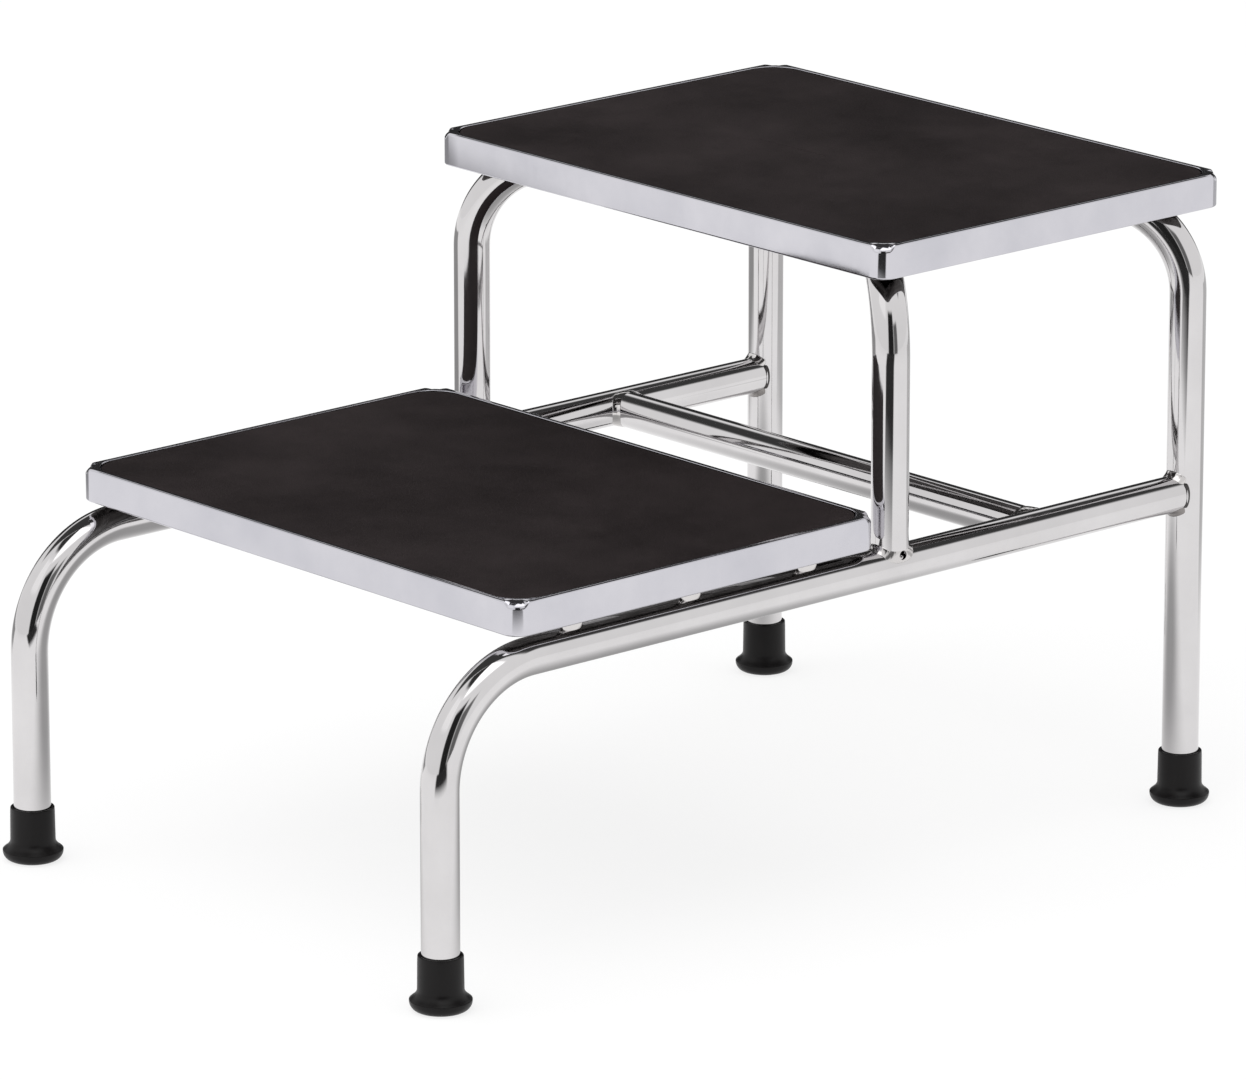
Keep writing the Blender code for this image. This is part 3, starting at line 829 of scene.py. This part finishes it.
def make_lugs(material):
    """Long low lumps of weld metal between the rails and the lower pan, fullest at mid height."""
    nodes = [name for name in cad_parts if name.startswith("pan_lug")]
    for number, node in enumerate(sorted(nodes)):
        low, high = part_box(node)
        centre = (low + high) / 2.0
        half = (high - low) / 2.0
        middle_x = centre.x - math.copysign(LUG_INWARD, centre.x)
        rings = []
        for step_up in range(LUG_LEVELS + 1):
            share = step_up / LUG_LEVELS
            hollow = (share - LUG_FULLEST) ** 2
            height = low.z + (high.z - low.z + LUG_INTO_PAN) * share
            ring = []
            for step in range(LUG_SIDES):
                turn = 2.0 * math.pi * step / LUG_SIDES
                x, y = rounded(turn, LUG_SQUARENESS)
                spot = (LUG_LUMPS_AROUND * x, LUG_LUMPS_AROUND * y, LUG_LUMPS_UP * share + number)
                lump = 1.0 + LUG_UNEVENNESS * noise.noise(Vector(spot))
                x *= half.x * LUG_SLENDER * (1.0 - LUG_NARROWING_ACROSS * hollow) * lump
                y *= half.y * (1.0 - LUG_NARROWING_ALONG * hollow) * lump
                ring.append(Vector((middle_x + x, centre.y + y, height)))
            rings.append(ring)
        mesh = skin(rings, cap_first=True, cap_last=True)
        add_piece(node + "_fine", mesh, [material], [node], LUG_CREASE)


# ---------------------------------------------------------------- leg tips

def tip_profile(height, flare_radius):
    """Radius and height from the socket's floor over the thin sleeve, the flared skirt and the
    bowl-shaped foot to the moulded rings of the sole."""
    bore = TUBE_RADIUS + TIP_BORE_GAP
    profile = [(bore, TIP_SOCKET_FLOOR)]
    for rise, run in arc_steps(TIP_LIP_STEPS):
        profile.append((bore + TIP_LIP * (1.0 - run), height - TIP_LIP * (1.0 - rise)))
    for rise, run in arc_steps(TIP_LIP_STEPS):
        profile.append((TIP_SLEEVE_TOP_RADIUS - TIP_LIP * (1.0 - rise), height - TIP_LIP * (1.0 - run)))
    profile.append((TIP_SLEEVE_TOP_RADIUS + TIP_SLEEVE_SWELL, height - 4.0 * TIP_LIP))
    profile.append((TIP_SLEEVE_FOOT_RADIUS, TIP_SKIRT_TOP + TIP_SKIRT_CLEAR))
    reach = flare_radius - TIP_SLEEVE_FOOT_RADIUS
    fall = (TIP_SKIRT_TOP - TIP_FLARE_Z) * TIP_SKIRT_FALL
    for step in range(1, TIP_SKIRT_STEPS):
        flatness = math.cos(math.pi / 2.0 * (step / TIP_SKIRT_STEPS))
        profile.append((flare_radius - reach * flatness, TIP_SKIRT_TOP - fall * math.sqrt(1.0 - flatness)))
    for rise, run in arc_steps(TIP_FLARE_STEPS):
        profile.append((flare_radius - TIP_FLARE_EDGE * (1.0 - rise), TIP_FLARE_Z + TIP_FLARE_EDGE * run))
    for rise, run in arc_steps(TIP_FOOT_STEPS):
        profile.append((TIP_SOLE_RADIUS + (flare_radius - TIP_SOLE_RADIUS) * run,
                        (TIP_FLARE_Z - TIP_FLARE_EDGE) * (1.0 - rise)))
    for ring in range(SOLE_RINGS):
        radius = TIP_SOLE_RADIUS - SOLE_RING_INSET - SOLE_RING_STEP * ring
        profile += [(radius + SOLE_GROOVE_HALF_WIDTH, 0.0),
                    (radius + SOLE_GROOVE_HALF_FLOOR, SOLE_GROOVE_DEPTH),
                    (radius - SOLE_GROOVE_HALF_FLOOR, SOLE_GROOVE_DEPTH),
                    (radius - SOLE_GROOVE_HALF_WIDTH, 0.0)]
    return profile


def make_tips(material):
    """Turned rubber tips, each in the box of its CAD node."""
    turns = [2.0 * math.pi * step / TIP_TURN_STEPS for step in range(TIP_TURN_STEPS)]
    nodes = [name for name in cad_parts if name.startswith("tip_") and "washer" not in name]
    for node in sorted(nodes):
        centre, size = base_and_size(node)
        rings = []
        for radius, height in tip_profile(size.z, size.x / 2.0):
            rings.append([centre + Vector((radius * math.cos(turn), radius * math.sin(turn), height))
                          for turn in turns])
        mesh = skin(rings, cap_first=True, cap_last=True)
        add_piece(node + "_fine", mesh, [material], [node], TIP_CREASE)


# ---------------------------------------------------------------- stage

def glow_material(name, brightness):
    """An even glow that fades to clear where the card's own cover runs out towards its edge."""
    material = bpy.data.materials.new(name)
    material.use_nodes = True
    tree = material.node_tree
    tree.nodes.clear()
    glow = add_node(tree, "ShaderNodeEmission", {"Color": (brightness, brightness, brightness, 1.0)})
    clear = add_node(tree, "ShaderNodeBsdfTransparent")
    cover = add_node(tree, "ShaderNodeAttribute", attribute_name="cover")
    mixed = add_node(tree, "ShaderNodeMixShader", {
        0: cover.outputs["Fac"], 1: clear.outputs[0], 2: glow.outputs[0]})
    add_node(tree, "ShaderNodeOutputMaterial", {"Surface": mixed.outputs[0]})
    return material


def reflected_only(card):
    """A studio card that only shows in reflections, and neither lights nor shades anything."""
    card.visible_camera = False
    card.visible_diffuse = False
    card.visible_shadow = False
    card.visible_transmission = False
    card.visible_volume_scatter = False


def add_stage_mesh(name, points, faces, material):
    mesh = bpy.data.meshes.new(name)
    mesh.from_pydata(points, [], faces)
    mesh.materials.append(material)
    thing = bpy.data.objects.new(name, mesh)
    bpy.context.scene.collection.objects.link(thing)
    return thing


def level(azimuth):
    """Level direction from the stool, at an azimuth counted from the camera's."""
    turn = math.radians(CAMERA_AZIMUTH + azimuth)
    return Vector((math.sin(turn), -math.cos(turn), 0.0))


def card_grid(name, azimuths, outs, soft, place_point, brightness):
    """A card with its grid of points placed by azimuth and by how far out or up they are.

    Its cover fades over its soft edges, but not where it goes all round or reaches the middle
    of the floor or the zenith."""
    full_turn = azimuths[1] - azimuths[0] >= 360.0
    points = []
    covers = []
    for row in range(CARD_STEPS + 1):
        out = outs[0] + (outs[1] - outs[0]) * row / CARD_STEPS
        nearer = soft if outs[0] == 0.0 else out - outs[0]
        beyond = soft if outs[1] >= ZENITH else outs[1] - out
        cover_out = fade(min(nearer, beyond) / soft)
        for column in range(CARD_STEPS + 1):
            azimuth = azimuths[0] + (azimuths[1] - azimuths[0]) * column / CARD_STEPS
            points.append(place_point(level(azimuth), out))
            beside = CARD_SOFT if full_turn else min(azimuth - azimuths[0], azimuths[1] - azimuth)
            covers.append(cover_out * fade(beside / CARD_SOFT))
    faces = []
    for row in range(CARD_STEPS):
        for column in range(CARD_STEPS):
            corner = row * (CARD_STEPS + 1) + column
            faces.append((corner, corner + 1, corner + CARD_STEPS + 2, corner + CARD_STEPS + 1))
    card = add_stage_mesh(name, points, faces, glow_material(name, brightness))
    card.data.attributes.new("cover", "FLOAT", "POINT").data.foreach_set("value", covers)
    reflected_only(card)


def on_dome(toward, elevation):
    rise = math.radians(elevation)
    return (toward * math.cos(rise) + UP * math.sin(rise)) * CARD_DISTANCE


def over_floor(height):
    """A placing function for a flag that lies at a height of its own, clear of the others."""
    return lambda toward, distance: toward * distance + UP * height


def make_cards():
    """The studio as the chrome sees it: a dark gap at the camera, a key light, a shaded ceiling
    with a bright patch in it, and shaded parts of the floor."""
    for name, azimuths, elevations, brightness in CARDS:
        card_grid(name, azimuths, elevations, CARD_SOFT, on_dome, brightness)
    for number, (name, azimuths, distances, brightness) in enumerate(FLAGS):
        place_point = over_floor(FLAG_HEIGHT * (number + 1))
        card_grid(name, azimuths, distances, FLAG_SOFT, place_point, brightness)


def make_floor():
    """A pale floor that glows a little itself, so that the shadow on it stays faint."""
    material, tree, shader = new_material("floor_paper")
    cloud = grain(tree, place(tree), FLOOR_CLOUD_SCALE)
    tree.links.new(blend_colours(tree, cloud, FLOOR_SHADE, FLOOR_LIGHT), shader.inputs["Base Color"])
    shader.inputs["Roughness"].default_value = FLOOR_ROUGHNESS
    shader.inputs["Specular IOR Level"].default_value = 0.0
    shader.inputs["Emission Color"].default_value = (1.0, 1.0, 1.0, 1.0)
    shader.inputs["Emission Strength"].default_value = FLOOR_GLOW
    corners = [(-1.0, -1.0), (1.0, -1.0), (1.0, 1.0), (-1.0, 1.0)]
    points = [(x * FLOOR_REACH, y * FLOOR_REACH, 0.0) for x, y in corners]
    add_stage_mesh("floor", points, [(0, 1, 2, 3)], material)


def make_light():
    """An even white world, and a large soft lamp that lights the stool but has no reflection."""
    scene = bpy.context.scene
    world = bpy.data.worlds.new("studio")
    scene.world = world
    world.use_nodes = True
    background = world.node_tree.nodes["Background"]
    background.inputs["Color"].default_value = (1.0, 1.0, 1.0, 1.0)
    background.inputs["Strength"].default_value = WORLD_STRENGTH
    lamp = bpy.data.lights.new("overhead_box", "AREA")
    lamp.shape = "RECTANGLE"
    lamp.size, lamp.size_y = OVERHEAD_SIZE
    lamp.energy = OVERHEAD_ENERGY
    box = bpy.data.objects.new("overhead_box", lamp)
    scene.collection.objects.link(box)
    box.location = level(OVERHEAD_AZIMUTH) * OVERHEAD_OUT + UP * OVERHEAD_UP
    box.rotation_euler = (-box.location).to_track_quat("-Z", "Y").to_euler()
    box.visible_glossy = False


def make_camera():
    """A long lens that looks down at the stool's right front corner."""
    scene = bpy.context.scene
    elevation = math.radians(CAMERA_ELEVATION)
    forward = -level(0.0) * math.cos(elevation) - UP * math.sin(elevation)
    right = level(90.0)
    up = right.cross(forward)
    aim = (cad_box[0] + cad_box[1]) / 2.0 + right * CAMERA_AIM_RIGHT + up * CAMERA_AIM_UP
    data = bpy.data.cameras.new("camera")
    data.lens = CAMERA_LENS
    data.clip_end = CAMERA_REACH
    camera = bpy.data.objects.new("camera", data)
    scene.collection.objects.link(camera)
    basis = Matrix((right, up, -forward)).transposed().to_4x4()
    camera.matrix_world = Matrix.Translation(aim - forward * CAMERA_DISTANCE) @ basis
    scene.camera = camera
    scene.view_settings.view_transform = "Standard"


def carry_steel(material):
    """CAD nodes that stay as they are, in the bare steel look."""
    for name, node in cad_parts.items():
        if name.startswith(("lower_rib", "tip_washer")):
            node.data.materials.clear()
            node.data.materials.append(material)


def build():
    chrome = {name: chrome_material(name, *look) for name, look in CHROME_LOOKS.items()}
    steel = {name: steel_material(name, *look) for name, look in STEEL_LOOKS.items()}
    rubber = {name: rubber_material(name, *look) for name, look in RUBBER_LOOKS.items()}
    # Painted shade: near-black steel for the pan undersides, the tube bores and the weld seams.
    painted_shade_steel = steel["pan_painted_shade_steel"]
    joints = make_tubes(chrome["tube_chrome_look"], painted_shade_steel)
    # The shaded bead runs get painted shade: a darkened weld chrome at the bottom crotch, and near-black
    # steel on the ear sides.
    make_beads(joints, {"bright": chrome["bright_weld_look"], "dull": chrome["shaded_bead_weld_look"],
                        "seam": painted_shade_steel})
    drill_vents(joints)
    for node in ("lower_pan", "upper_pan"):
        make_pan(node, chrome["pan_chrome_look"], painted_shade_steel)
    for node in ("lower_mat", "upper_mat"):
        make_mat(node, rubber["mat_rubber_look"])
    make_lugs(chrome["bright_weld_look"])
    make_tips(rubber["tip_rubber_look"])
    carry_steel(steel["bare_steel"])
    make_floor()
    make_cards()
    make_light()
    make_camera()


build()
